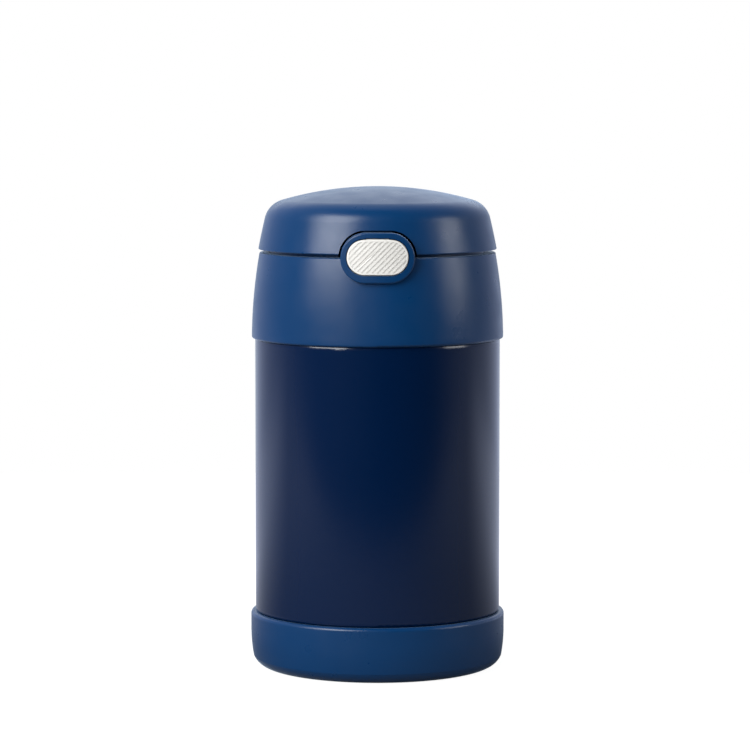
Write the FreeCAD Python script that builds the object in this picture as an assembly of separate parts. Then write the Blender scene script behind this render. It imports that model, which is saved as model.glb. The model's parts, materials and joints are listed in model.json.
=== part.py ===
import FreeCAD, Part
import math
import os

# Insulated food jar: a vacuum steel jar, a screw-on stopper unit and a hinged lid over a spoon tray.
# Millimetres. +Z is up, the button faces -Y and the hinge +Y.
# The origin is the centre of the ring that the jar stands on.

V = FreeCAD.Vector
UP = V(0, 0, 1)
CENTRE = V(0, 0, 0)

# Steel jar
BODY_RADIUS = 45.25
SHEET = 0.5
STEP_DEPTH = 0.75           # how far the steel steps in at its lower end, where the base cap sits
STEP_HEIGHT = 1.3
STEP_BOW_IN = 0.3           # the step's arc passes through these shares of its depth and height
STEP_BOW_DOWN = 0.7
SHOULDER_START_Z = 120.6
SHOULDER_ROUND = 3.4
SHOULDER_RISE = 1.6         # from the shoulder's round up to the neck
NECK_INSET = 4.95           # from the body's side in to the neck's
NECK_HEIGHT = 21.4          # from the shoulder's start up to the lip
NECK_VACUUM = 0.8           # space between the two steel walls at the neck
LIP_WIDTH = 3.5
LIP_ROUND = 0.3
THROAT_DEPTH = 15.0         # from the lip down to where the food space starts to widen
THROAT_TAPER = 5.0
FOOD_FLOOR_Z = 14.0
FOOD_FLOOR_ROUND = 10.0
BOTTOM_PLATE_RISE = 3.0
BOTTOM_PLATE_ROUND = 1.2
GETTER_RADIUS = 4.0
GETTER_HEIGHT = 2.0
GETTER_OFFSET = 14.0
SEAL_BEAD_RADIUS = 1.8
SEAL_BEAD_HEIGHT = 0.9
SEAL_BEAD_ROUND = 0.54

# Base cap
BASE_OVERHANG = 1.75        # how far the cap stands out past the steel
BASE_TOP_Z = 20.6
BASE_FLOOR = 3.0
BASE_CLEARANCE = 0.3
BASE_FOOT_INSET = 5.55      # from the cap's side in to the ring that the jar stands on
BASE_FOOT_WIDTH = 5.5
BASE_RECESS = 1.0
BASE_CORNER_INSET = 0.9     # where the round lower corner meets the side
BASE_CORNER_Z = 3.8
BASE_CORNER_BOW = 0.26      # share of the corner's height at the middle of its arc
BASE_SIDE_Z = 15.0          # from here up the side is upright
BASE_SIDE_BOW_OUT = 0.7     # the side's arc passes through these shares of its width and height
BASE_SIDE_BOW_UP = 0.4
BASE_LIP_ROUND = 1.3

# Screw thread between neck and stopper
THREAD_LEAD = 8.0
THREAD_STARTS = 2
THREAD_TURNS = 0.85
THREAD_DEPTH = 1.2
THREAD_ROOT_WIDTH = 2.1
THREAD_CREST_WIDTH = 1.0
THREAD_CLEARANCE = 0.3
THREAD_DROP = 11.0          # from the lip down to the start of the neck's ridge
THREAD_BITE = 0.3           # how far a ridge reaches into the wall that carries it

# Stopper
STOPPER_PLATE = 1.8
STOPPER_SKIRT_WALL = 1.4
STOPPER_SKIRT_DROP = 14.4   # from the lip down
PLUG_CLEARANCE = 0.6
PLUG_WALL = 1.4
PLUG_DROP = 14.8            # from the lip down
PLUG_FLOOR = 1.4
PLUG_ROUND = 1.2
FOAM_CLEARANCE = 0.2
SEAL_ROOM = 1.2             # between the lip and the stopper's plate
SEAL_CLEARANCE = 0.05
SEAL_WIDTH = 3.6
SEAL_ROUND = 0.385

# Collar round the stopper
COLLAR_OVERHANG = 1.2       # how far it stands out past the body
COLLAR_LIFT = 1.3           # from the shoulder's start up to its lower edge
COLLAR_EDGE_ROUND = 0.85
COLLAR_BAND = 2.1           # height of its widest part
COLLAR_BELLY = 0.55         # how far the side bows out of a straight taper
COLLAR_TAPER = 2.85
COLLAR_RISE = 8.5           # from the stopper's plate up to its top
COLLAR_BODY_CLEARANCE = 0.3
COLLAR_WALL_TOP = 1.5
COLLAR_FIT = 0.2
DECK = 2.0
UPSTAND_INSET = 3.9         # from the collar's top edge in
UPSTAND_WALL = 1.5
UPSTAND_RISE = 2.8
EDGE_ROUND = 0.35
WALL_SHARE = 0.9            # the most of a wall that its rounding may take

# Hinged lid
LID_GAP = 1.2               # open seam between collar and lid
LID_OVERHANG = 0.4          # how far its lower edge stands out past the collar's top
LID_HEIGHT = 23.05
LID_SKIRT_HEIGHT = 13.6
LID_TAPER = 2.95
LID_SKIRT_BELLY = 0.1
LID_SHOULDER_ROUND = 9.0
LID_DOME_RADIUS = 127.0
LID_WALL = 1.8
LID_LINER_WALL = 1.5
LID_LINER_DROP = 2.4        # air space under the dome

# Push button and its frame
BEZEL_WIDTH = 26.65
BEZEL_HEIGHT = 18.0
BEZEL_LIFT = 0.2            # its centre above the collar's top
BEZEL_STANDOUT = 2.9        # its face past the collar's top edge
BEZEL_DEPTH = 2.8           # its back inside that edge
BEZEL_BACK_WALL = 0.7
BEZEL_EDGE_ROUND = 0.6
LID_NOTCH_CLEARANCE = 0.75
BUTTON_WIDTH = 22.1
BUTTON_HEIGHT = 12.75
BUTTON_LIFT = 0.3           # its centre above the frame's
BUTTON_CLEARANCE = 0.3
BUTTON_RECESS = 0.15
BUTTON_THICKNESS = 2.6
BUTTON_EDGE_ROUND = 0.45
BUTTON_TAB_WIDTH = 8.0
BUTTON_TAB_HEIGHT = 0.22
BUTTON_TRAVEL = 2.0
RIB_PITCH = 1.35
RIB_ANGLE = 45.0
RIB_GROOVE_WIDTH = 0.62
RIB_GROOVE_DEPTH = 0.22
RIB_MARGIN = 0.75

# Latch
HOOK_WIDTH = 10.0
HOOK_THICKNESS = 1.1
HOOK_INSET = 3.6            # from the collar's top edge in to the hook's front
HOOK_LIFT = 1.4             # its tip above the stopper's plate
HOOK_NOSE = 1.1
HOOK_NOSE_HEIGHT = 1.6
HOOK_NOSE_FLAT = 0.5
LATCH_CLEARANCE = 0.25      # the catch is drawn clear of the nose, so that the lid lifts by itself
SLIDER_WIDTH = 14.0
SLIDER_ARM = 1.4
SLIDER_PLATE = 0.8
SLIDER_WALL = 1.0
SLIDER_CLEARANCE = 0.3
LATCH_HOUSING_WALL = 1.5
SPRING_LENGTH = 4.3
SPRING_WIRE = 0.4
SPRING_RADIUS = 1.6
SPRING_TURNS = 4
SLOT_CLEARANCE = 0.7

# Lid hinge
HINGE_STANDOUT = 1.0        # its axis past the collar's top edge
BARREL_RADIUS = 2.8
PIN_RADIUS = 1.0
PIN_CLEARANCE = 0.05
PIN_END_INSET = 0.2
KNUCKLE_INNER_X = 3.6
KNUCKLE_OUTER_X = 8.0
EAR_WIDTH = 4.8
HINGE_SIDE_CLEARANCE = 0.3
HINGE_ROUND_CLEARANCE = 0.4
KNUCKLE_RISE = 8.0          # how far the knuckle's web climbs the lid
EAR_DROP = 8.6              # how far the ear's web runs down the collar
EAR_BITE = 0.4              # how far the web reaches into the collar past its barrel
STOP_LUG_REACH = 1.2
STOP_LUG_ANGLE = 14.0
STOP_LUG_WIDTH = 1.6
TORSION_WIRE = 0.55
TORSION_RADIUS = 1.75
TORSION_TURNS = 4.5
TORSION_LEG = 3.6
TORSION_PITCH = 1.02
TORSION_LEG_CLEARANCE = 0.1

# Spoon tray
TRAY_CLEARANCE = 0.3
TRAY_WALL = 1.3
TRAY_FLOOR = 1.4
TRAY_TOP_BELOW_COLLAR = 0.6
TRAY_ROUND = 1.0

# Folding spoon
BOWL_WIDTH = 36.0
BOWL_DEPTH = 8.0
BOWL_SHEET = 0.9
BOWL_END_ROOM = 2.1         # between the bowl and the tray's wall
EYE_END_ROOM = 3.7          # between the pivot's eye and the tray's wall
SPOON_EYE_RADIUS = 2.4
STEM_LENGTH = 11.6          # between the bowl and the pivot's eye
STEM_WIDTH = 8.0
STEM_THICKNESS = 1.6
STEM_LAP = 3.0              # how far the stem runs into the bowl
SPOON_PIN_RADIUS = 1.1
SPOON_SIDE_CLEARANCE = 0.1
SPOON_EAR = 1.0
SPOON_PIN_HEAD = 0.6
SPOON_PIN_LIP = 0.7
HANDLE_WIDTH = 14.0
HANDLE_THICKNESS = 1.1
HANDLE_END_ROOM = 5.1       # between the handle's tip and the tray's wall
HANDLE_ROOT_INSET = 3.0     # from the pivot back to the centre of the handle's round root
REST_WIDTH = 5.0
REST_OVERHANG = 2.0

PAST = 1.0                  # how far a cutting shape runs past the surface that it opens
FAR_PAST = 5.0


# Drawing helpers

def arc_edge(start, middle, end):
    """A round edge. A wide arc becomes a spline, since turning it would give a torus that crosses itself."""
    arc = Part.Arc(start, middle, end)
    if arc.toShape().Curve.Center.x < 0:
        return arc.toBSpline().toShape()
    return arc.toShape()


def turned(*points):
    """A solid of revolution about Z from (radius, z) points.

    Four numbers (r, z, r, z) are an arc through the first point to the second.
    """
    edges = []
    here = V(points[0][0], 0, points[0][1])
    for point in list(points[1:]) + [points[0]]:
        there = V(point[-2], 0, point[-1])
        if len(point) == 4:
            edges.append(arc_edge(here, V(point[0], 0, point[1]), there))
        elif (there - here).Length > 1e-7:
            edges.append(Part.LineSegment(here, there).toShape())
        here = there
    return Part.Face(Part.Wire(edges)).revolve(CENTRE, UP, 360)


def top_corner(radius, z, rounding):
    """Profile points of a rounded upper outer corner, from the side on to the top."""
    near = rounding * (1 - math.sqrt(0.5))
    return (radius, z - rounding), (radius - near, z - near, radius - rounding, z)


def bottom_corner(radius, z, rounding):
    """Profile points of a rounded lower outer corner, from the underside on to the side."""
    near = rounding * (1 - math.sqrt(0.5))
    return (radius - rounding, z), (radius - near, z + near, radius, z + rounding)


def disc(radius, low, high):
    return Part.makeCylinder(radius, high - low, V(0, 0, low), UP)


def tube(inner, outer, low, high):
    return disc(outer, low, high).cut(disc(inner, low - PAST, high + PAST))


def box(x0, x1, y0, y1, z0, z1):
    return Part.makeBox(x1 - x0, y1 - y0, z1 - z0, V(x0, y0, z0))


def bar_along_x(radius, x0, x1, y, z):
    return Part.makeCylinder(radius, x1 - x0, V(x0, y, z), V(1, 0, 0))


def stadium(width, height, z, y0, y1):
    """A prism along Y with round ends, centred on X."""
    radius = height / 2
    reach = width / 2 - radius
    ends = [Part.makeCylinder(radius, y1 - y0, V(x, y0, z), V(0, 1, 0)) for x in (-reach, reach)]
    middle = box(-reach, reach, y0, y1, z - radius, z + radius)
    return middle.fuse(ends).removeSplitter()


def prism_along_x(points, x0, x1):
    """A prism between two x positions from (y, z) corners."""
    corners = [V(x0, y, z) for y, z in points]
    face = Part.Face(Part.makePolygon(corners + corners[:1]))
    return face.extrude(V(x1 - x0, 0, 0))


def joined(first, *rest):
    return first.fuse(list(rest)).removeSplitter()


def round_rims(shape, radius, places):
    """Fillets the round edges about Z that lie at the given (radius, z) places."""
    def is_there(edge):
        if edge.Degenerated:
            return False
        curve = edge.Curve
        if not isinstance(curve, Part.Circle):
            return False
        return any(
            abs(curve.Radius - r) < 1e-3 and abs(edge.CenterOfMass.z - z) < 1e-3 for r, z in places
        )
    edges = [edge for edge in shape.Edges if is_there(edge)]
    return shape.makeFillet(radius, edges)


def thread_ridge(wall_radius, tip_radius, start_z, turns, start_angle):
    """One helical ridge from inside the wall to its tip, either way."""
    outward = 1 if tip_radius > wall_radius else -1
    root = wall_radius - outward * THREAD_BITE
    half_root = THREAD_ROOT_WIDTH / 2
    half_crest = THREAD_CREST_WIDTH / 2
    corners = [
        V(root, 0, start_z - half_root),
        V(tip_radius, 0, start_z - half_crest),
        V(tip_radius, 0, start_z + half_crest),
        V(root, 0, start_z + half_root),
    ]
    profile = Part.makePolygon(corners + corners[:1])
    path = Part.makeHelix(THREAD_LEAD, THREAD_LEAD * turns, wall_radius)
    path.translate(V(0, 0, start_z))
    ridge = Part.Wire(path.Edges).makePipeShell([profile], True, True)
    ridge.rotate(CENTRE, UP, start_angle)
    return ridge


def helix_point(radius, pitch, turn):
    """Place and direction on a helix about Z after that many turns."""
    angle = 2 * math.pi * turn
    place = V(radius * math.cos(angle), radius * math.sin(angle), pitch * turn)
    direction = V(-math.sin(angle), math.cos(angle), pitch / (2 * math.pi * radius)).normalize()
    return place, direction


def arc_to(start, corner, end):
    """The arc that leaves start towards corner and reaches end from corner."""
    middle = (start + end) * 0.5
    half_chord = (end - start).Length / 2
    half_turn = math.acos(half_chord / (corner - start).Length)
    crown = middle + (corner - middle) * (math.tan(half_turn / 2) / math.tan(half_turn))
    return Part.Arc(start, crown, end).toShape()


def coil(name, radius, wire, turns, pitch, leg=0):
    """A round wire coil along Z, on pairs of arcs that follow each quarter turn, with straight legs."""
    arcs = []
    for quarter in range(round(4 * turns)):
        start, out = helix_point(radius, pitch, quarter / 4)
        end, back = helix_point(radius, pitch, (quarter + 1) / 4)
        chord = end - start
        slope = chord.dot(out + back)
        bend = 2 * (1 - out.dot(back))
        reach = (math.sqrt(slope**2 + bend * chord.dot(chord)) - slope) / bend
        first = start + out * reach
        second = end - back * reach
        join = (first + second) * 0.5
        arcs += [arc_to(start, first, join), arc_to(join, second, end)]
    print(f"{name}: least gap between its turns {least_gap(Part.Wire(arcs), wire, radius):.2f} mm")
    tail, out = helix_point(radius, pitch, 0)
    tip, back = helix_point(radius, pitch, turns)
    if leg:
        arcs.insert(0, Part.makeLine(tail - out * leg, tail))
        arcs.append(Part.makeLine(tip, tip + back * leg))
    path = Part.Wire(arcs)
    profile = Part.Wire([Part.makeCircle(wire / 2, tail - out * leg, out)])
    return path.makePipeShell([profile], True, False)


def least_gap(path, wire, radius):
    """Least distance between stretches of the wire that are half a turn or more apart."""
    step = wire / 4
    points = path.discretize(Distance=step)
    apart = int(math.pi * radius / step)
    near = [
        (points[i] - points[j]).Length
        for i in range(len(points))
        for j in range(i + apart, len(points))
    ]
    return min(near) - wire


# Sizes that follow from the ones above
SEAT_Z = BASE_FLOOR
STEP_RADIUS = BODY_RADIUS - STEP_DEPTH
STEP_TOP_Z = BASE_TOP_Z + STEP_HEIGHT
NECK_RADIUS = BODY_RADIUS - NECK_INSET
BORE_RADIUS = NECK_RADIUS - NECK_VACUUM - 2 * SHEET
MOUTH_RADIUS = NECK_RADIUS - LIP_WIDTH
LIP_Z = SHOULDER_START_Z + NECK_HEIGHT
THROAT_HIGH_Z = LIP_Z - THROAT_DEPTH
THROAT_LOW_Z = THROAT_HIGH_Z - THROAT_TAPER
BASE_RADIUS = BODY_RADIUS + BASE_OVERHANG
BASE_FOOT_RADIUS = BASE_RADIUS - BASE_FOOT_INSET
BASE_CORNER_RADIUS = BASE_RADIUS - BASE_CORNER_INSET
THREAD_START_Z = LIP_Z - THREAD_DROP
STOPPER_PLATE_BOTTOM_Z = LIP_Z + SEAL_ROOM
STOPPER_SKIRT_BOTTOM_Z = LIP_Z - STOPPER_SKIRT_DROP
PLATE_TOP_Z = STOPPER_PLATE_BOTTOM_Z + STOPPER_PLATE
PLUG_BOTTOM_Z = LIP_Z - PLUG_DROP
PLUG_RADIUS = MOUTH_RADIUS - PLUG_CLEARANCE
MALE_CREST = NECK_RADIUS + THREAD_DEPTH
FEMALE_CREST = NECK_RADIUS + THREAD_CLEARANCE
FEMALE_ROOT = MALE_CREST + THREAD_CLEARANCE
SKIRT_RADIUS = FEMALE_ROOT + STOPPER_SKIRT_WALL
THREAD_PITCH = THREAD_LEAD / THREAD_STARTS
COLLAR_RADIUS = BODY_RADIUS + COLLAR_OVERHANG
COLLAR_TOP_RADIUS = COLLAR_RADIUS - COLLAR_TAPER
COLLAR_BOTTOM_Z = SHOULDER_START_Z + COLLAR_LIFT
COLLAR_WIDEST_Z = COLLAR_BOTTOM_Z + COLLAR_BAND
COLLAR_TOP_Z = PLATE_TOP_Z + COLLAR_RISE
UPSTAND_RADIUS = COLLAR_TOP_RADIUS - UPSTAND_INSET
UPSTAND_INSIDE = UPSTAND_RADIUS - UPSTAND_WALL
UPSTAND_TOP_Z = COLLAR_TOP_Z + UPSTAND_RISE
LID_BOTTOM_RADIUS = COLLAR_TOP_RADIUS + LID_OVERHANG
LID_SKIRT_TOP_RADIUS = LID_BOTTOM_RADIUS - LID_TAPER
LID_BOTTOM_Z = COLLAR_TOP_Z + LID_GAP
LID_TOP_Z = LID_BOTTOM_Z + LID_HEIGHT
HINGE_Y = COLLAR_TOP_RADIUS + HINGE_STANDOUT
HINGE_Z = COLLAR_TOP_Z + LID_GAP / 2
TRAY_RADIUS = UPSTAND_INSIDE - TRAY_CLEARANCE
TRAY_INSIDE = TRAY_RADIUS - TRAY_WALL
TRAY_FLOOR_Z = PLATE_TOP_Z + TRAY_FLOOR
BEZEL_Z = COLLAR_TOP_Z + BEZEL_LIFT
BEZEL_FACE_RADIUS = COLLAR_TOP_RADIUS + BEZEL_STANDOUT
BEZEL_BACK_Y = BEZEL_DEPTH - COLLAR_TOP_RADIUS
BUTTON_Z = BEZEL_Z + BUTTON_LIFT
HOOK_FRONT_Y = HOOK_INSET - COLLAR_TOP_RADIUS
HOOK_BOTTOM_Z = PLATE_TOP_Z + HOOK_LIFT
HOOK_BACK_Y = HOOK_FRONT_Y + HOOK_THICKNESS
NOSE_TIP_Y = HOOK_BACK_Y + HOOK_NOSE
CATCH_Y = NOSE_TIP_Y + LATCH_CLEARANCE
SLIDER_BACK_Y = CATCH_Y + SLIDER_WALL + LATCH_CLEARANCE
SLIDER_BOTTOM_Z = PLATE_TOP_Z + SLIDER_CLEARANCE
SLIDER_TOP_Z = COLLAR_TOP_Z - DECK - SLIDER_CLEARANCE
SLIDER_FRONT_Y = HOOK_FRONT_Y - BUTTON_TRAVEL - LATCH_CLEARANCE - SLIDER_PLATE
HOUSING_INSIDE_X = SLIDER_WIDTH / 2 + SLIDER_CLEARANCE
HOUSING_X = HOUSING_INSIDE_X + LATCH_HOUSING_WALL
HOUSING_INSIDE_Y = SLIDER_BACK_Y + SPRING_LENGTH
HOUSING_BACK_Y = HOUSING_INSIDE_Y + LATCH_HOUSING_WALL
CATCH_BOTTOM_Z = HOOK_BOTTOM_Z + HOOK_NOSE_HEIGHT + LATCH_CLEARANCE
LEG_ROOM_HALF = TORSION_RADIUS + TORSION_WIRE / 2 + TORSION_LEG_CLEARANCE
EAR_INNER_X = KNUCKLE_OUTER_X + HINGE_SIDE_CLEARANCE
EAR_OUTER_X = EAR_INNER_X + EAR_WIDTH
BUTTON_FACE_RADIUS = BEZEL_FACE_RADIUS - BUTTON_RECESS
BUTTON_BACK_RADIUS = BUTTON_FACE_RADIUS - BUTTON_THICKNESS
SPOON_PIVOT_X = TRAY_INSIDE - EYE_END_ROOM - SPOON_EYE_RADIUS
BOWL_TIP_X = BOWL_END_ROOM - TRAY_INSIDE
BOWL_LENGTH = SPOON_PIVOT_X - SPOON_EYE_RADIUS - STEM_LENGTH - BOWL_TIP_X
BOWL_CENTRE_X = BOWL_TIP_X + BOWL_LENGTH / 2
HANDLE_TIP_X = HANDLE_END_ROOM - TRAY_INSIDE
SPOON_RIM_Z = TRAY_FLOOR_Z + BOWL_DEPTH
SPOON_PIVOT_Z = SPOON_RIM_Z + SPOON_EYE_RADIUS - STEM_THICKNESS
SPOON_EAR_INNER_Y = STEM_WIDTH / 2 + SPOON_SIDE_CLEARANCE
SPOON_EAR_OUTER_Y = SPOON_EAR_INNER_Y + SPOON_EAR


# Steel jar

def outer_shell():
    """Painted steel wall: a step for the base cap, a round shoulder and a threaded neck, all one sheet."""
    def skin(inset):
        shoulder = SHOULDER_ROUND - inset
        centre_r = BODY_RADIUS - SHOULDER_ROUND
        top_z = SHOULDER_START_Z + shoulder
        slant = math.sqrt(0.5)
        return (
            (STEP_RADIUS - inset, SEAT_Z),
            (STEP_RADIUS - inset, STEP_TOP_Z - STEP_HEIGHT + inset),
            (
                BODY_RADIUS - inset - STEP_BOW_IN * STEP_DEPTH,
                STEP_TOP_Z - STEP_BOW_DOWN * STEP_HEIGHT + inset,
                BODY_RADIUS - inset,
                STEP_TOP_Z + inset,
            ),
            (BODY_RADIUS - inset, SHOULDER_START_Z),
            (centre_r + shoulder * slant, SHOULDER_START_Z + shoulder * slant, centre_r, top_z),
            (NECK_RADIUS - inset, top_z + SHOULDER_RISE),
            (NECK_RADIUS - inset, LIP_Z - SHEET),
        )
    outside = turned((0, SEAT_Z), *skin(0), (0, LIP_Z - SHEET))
    inside = turned((0, SEAT_Z), *skin(SHEET), (0, LIP_Z - SHEET))
    shell = outside.cut(inside)
    for n in range(THREAD_STARTS):
        angle = 360.0 * n / THREAD_STARTS
        ridge = thread_ridge(NECK_RADIUS, MALE_CREST, THREAD_START_Z, THREAD_TURNS, angle)
        shell = shell.fuse(ridge)
    return shell.removeSplitter()


def inner_vessel():
    """Bright steel liner that holds the food. Its flange closes the vacuum space at the lip."""
    def skin(out):
        low = FOOD_FLOOR_Z - out
        corner = FOOD_FLOOR_ROUND + out
        centre_r = BORE_RADIUS - FOOD_FLOOR_ROUND
        centre_z = FOOD_FLOOR_Z + FOOD_FLOOR_ROUND
        slant = math.sqrt(0.5) * corner
        return (
            (centre_r, low),
            (centre_r + slant, centre_z - slant, BORE_RADIUS + out, centre_z),
            (BORE_RADIUS + out, THROAT_LOW_Z),
            (MOUTH_RADIUS + out, THROAT_HIGH_Z),
        )
    floor_z = FOOD_FLOOR_Z
    liner = turned(
        (0, floor_z - SHEET),
        *skin(SHEET),
        (MOUTH_RADIUS + SHEET, LIP_Z - SHEET),
        (NECK_RADIUS, LIP_Z - SHEET),
        (NECK_RADIUS, LIP_Z),
        (0, LIP_Z),
    )
    food = turned((0, floor_z), *skin(0), (MOUTH_RADIUS, LIP_Z + PAST), (0, LIP_Z + PAST))
    return round_rims(liner.cut(food), LIP_ROUND, [(MOUTH_RADIUS, LIP_Z)])


def outer_bottom():
    """Dished steel plate welded inside the shell's lower end."""
    radius = STEP_RADIUS - SHEET
    plate_z = SEAT_Z + BOTTOM_PLATE_RISE
    dish = disc(radius, SEAT_Z, plate_z + SHEET).cut(disc(radius - SHEET, SEAT_Z - PAST, plate_z))
    return round_rims(dish, BOTTOM_PLATE_ROUND, [(radius, plate_z + SHEET)])


def getter():
    """Gas-trapping pellet on the bottom plate, inside the vacuum space."""
    low = SEAT_Z + BOTTOM_PLATE_RISE + SHEET
    pellet = disc(GETTER_RADIUS, low, low + GETTER_HEIGHT)
    pellet.translate(V(GETTER_OFFSET, 0, 0))
    return pellet


def vacuum_seal_bead():
    """Bead that closes the pump-out hole under the bottom plate."""
    top = SEAT_Z + BOTTOM_PLATE_RISE
    bead = disc(SEAL_BEAD_RADIUS, top - SEAL_BEAD_HEIGHT, top)
    return round_rims(bead, SEAL_BEAD_ROUND, [(SEAL_BEAD_RADIUS, top - SEAL_BEAD_HEIGHT)])


def base_cap():
    """Moulded cap round the lower end. The jar stands on the ring round its shallow recess."""
    inside = STEP_RADIUS + BASE_CLEARANCE
    recess_radius = BASE_FOOT_RADIUS - BASE_FOOT_WIDTH
    corner_mid = ((BASE_FOOT_RADIUS + BASE_CORNER_RADIUS) / 2, BASE_CORNER_BOW * BASE_CORNER_Z)
    side_mid = (
        BASE_CORNER_RADIUS + BASE_SIDE_BOW_OUT * BASE_CORNER_INSET,
        BASE_CORNER_Z + BASE_SIDE_BOW_UP * (BASE_SIDE_Z - BASE_CORNER_Z),
    )
    cap = turned(
        (0, BASE_RECESS),
        (recess_radius, BASE_RECESS),
        (recess_radius + BASE_RECESS, 0),
        (BASE_FOOT_RADIUS, 0),
        (*corner_mid, BASE_CORNER_RADIUS, BASE_CORNER_Z),
        (*side_mid, BASE_RADIUS, BASE_SIDE_Z),
        (BASE_RADIUS, BASE_TOP_Z),
        (inside, BASE_TOP_Z),
        (inside, BASE_FLOOR),
        (0, BASE_FLOOR),
    )
    return round_rims(cap, BASE_LIP_ROUND, [(BASE_RADIUS, BASE_TOP_Z)])


# Stopper unit

def stopper():
    """Screw stopper: a plug in the mouth, a plate over the lip and a threaded skirt round the neck."""
    plug_inside = PLUG_RADIUS - PLUG_WALL
    body = turned(
        (0, PLUG_BOTTOM_Z),
        (PLUG_RADIUS, PLUG_BOTTOM_Z),
        (PLUG_RADIUS, STOPPER_PLATE_BOTTOM_Z),
        (FEMALE_ROOT, STOPPER_PLATE_BOTTOM_Z),
        (FEMALE_ROOT, STOPPER_SKIRT_BOTTOM_Z),
        (SKIRT_RADIUS, STOPPER_SKIRT_BOTTOM_Z),
        (SKIRT_RADIUS, PLATE_TOP_Z),
        (plug_inside, PLATE_TOP_Z),
        (plug_inside, PLUG_BOTTOM_Z + PLUG_FLOOR),
        (0, PLUG_BOTTOM_Z + PLUG_FLOOR),
    )
    body = round_rims(body, PLUG_ROUND, [(PLUG_RADIUS, PLUG_BOTTOM_Z)])
    for n in range(THREAD_STARTS):
        angle = 360.0 * n / THREAD_STARTS
        start_z = THREAD_START_Z + THREAD_PITCH / 2
        ridge = thread_ridge(FEMALE_ROOT, FEMALE_CREST, start_z, THREAD_TURNS, angle)
        body = body.fuse(ridge)
    return body.removeSplitter()


def stopper_foam():
    """Insulating foam puck inside the plug, closed in by the tray."""
    radius = PLUG_RADIUS - PLUG_WALL - FOAM_CLEARANCE
    return disc(radius, PLUG_BOTTOM_Z + PLUG_FLOOR, PLATE_TOP_Z - FOAM_CLEARANCE)


def stopper_seal():
    """Silicone ring between the lip and the stopper's plate."""
    inner = PLUG_RADIUS + SEAL_CLEARANCE
    outer = inner + SEAL_WIDTH
    low = LIP_Z + SEAL_CLEARANCE
    high = STOPPER_PLATE_BOTTOM_Z - SEAL_CLEARANCE
    return round_rims(tube(inner, outer, low, high), SEAL_ROUND, [(outer, low), (outer, high)])


def collar():
    """Outer ring of the stopper unit, with the button's frame, the latch housing and the hinge ears."""
    mid_z = (COLLAR_WIDEST_Z + COLLAR_TOP_Z) / 2
    mid_r = (COLLAR_RADIUS + COLLAR_TOP_RADIUS) / 2 + COLLAR_BELLY
    inside_low = BODY_RADIUS + COLLAR_BODY_CLEARANCE
    inside_mid = SKIRT_RADIUS + COLLAR_FIT
    inside_top = COLLAR_TOP_RADIUS - COLLAR_WALL_TOP
    deck_z = COLLAR_TOP_Z - DECK
    shoulder_z = SHOULDER_START_Z + SHOULDER_ROUND
    bottom_edge = min(COLLAR_EDGE_ROUND, WALL_SHARE * (COLLAR_RADIUS - inside_low))
    top_edge, top_round = top_corner(COLLAR_TOP_RADIUS, COLLAR_TOP_Z, EDGE_ROUND)
    ring = turned(
        (inside_low, COLLAR_BOTTOM_Z),
        *bottom_corner(COLLAR_RADIUS, COLLAR_BOTTOM_Z, bottom_edge),
        (COLLAR_RADIUS, COLLAR_WIDEST_Z),
        (mid_r, mid_z, *top_edge),
        top_round,
        (UPSTAND_RADIUS, COLLAR_TOP_Z),
        (UPSTAND_RADIUS, UPSTAND_TOP_Z - EDGE_ROUND),
        (UPSTAND_RADIUS - EDGE_ROUND, UPSTAND_TOP_Z),
        (UPSTAND_INSIDE, UPSTAND_TOP_Z),
        (UPSTAND_INSIDE, PLATE_TOP_Z),
        (UPSTAND_RADIUS, PLATE_TOP_Z),
        (UPSTAND_RADIUS, deck_z),
        (inside_top, deck_z),
        (inside_top, PLATE_TOP_Z),
        (inside_mid, PLATE_TOP_Z),
        (inside_mid, shoulder_z + inside_low - inside_mid),
        (inside_low, shoulder_z),
    )
    for piece in [bezel(), latch_housing()] + hinge_ears():
        ring = ring.fuse(piece)
    return ring.cut(latch_space()).cut(hinge_space_in_collar())


def bezel():
    """Raised oval frame round the button. Its face follows the collar's widest circle."""
    skirt_room = SKIRT_RADIUS + COLLAR_FIT
    block = stadium(BEZEL_WIDTH, BEZEL_HEIGHT, BEZEL_Z, -BEZEL_FACE_RADIUS - FAR_PAST, BEZEL_BACK_Y)
    face = disc(BEZEL_FACE_RADIUS, BEZEL_Z - BEZEL_HEIGHT, BEZEL_Z + BEZEL_HEIGHT)
    block = block.common(face).cut(disc(skirt_room, BEZEL_Z - BEZEL_HEIGHT, PLATE_TOP_Z))
    rim = [edge for edge in block.Edges if edge.BoundBox.YMax < -skirt_room]
    return block.makeFillet(BEZEL_EDGE_ROUND, rim)


def latch_housing():
    """Block under and behind the deck that covers the latch slider and its spring."""
    low = PLATE_TOP_Z
    front = -(COLLAR_TOP_RADIUS - COLLAR_WALL_TOP)
    return box(-HOUSING_X, HOUSING_X, front, HOUSING_BACK_Y, low, COLLAR_TOP_Z)


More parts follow.
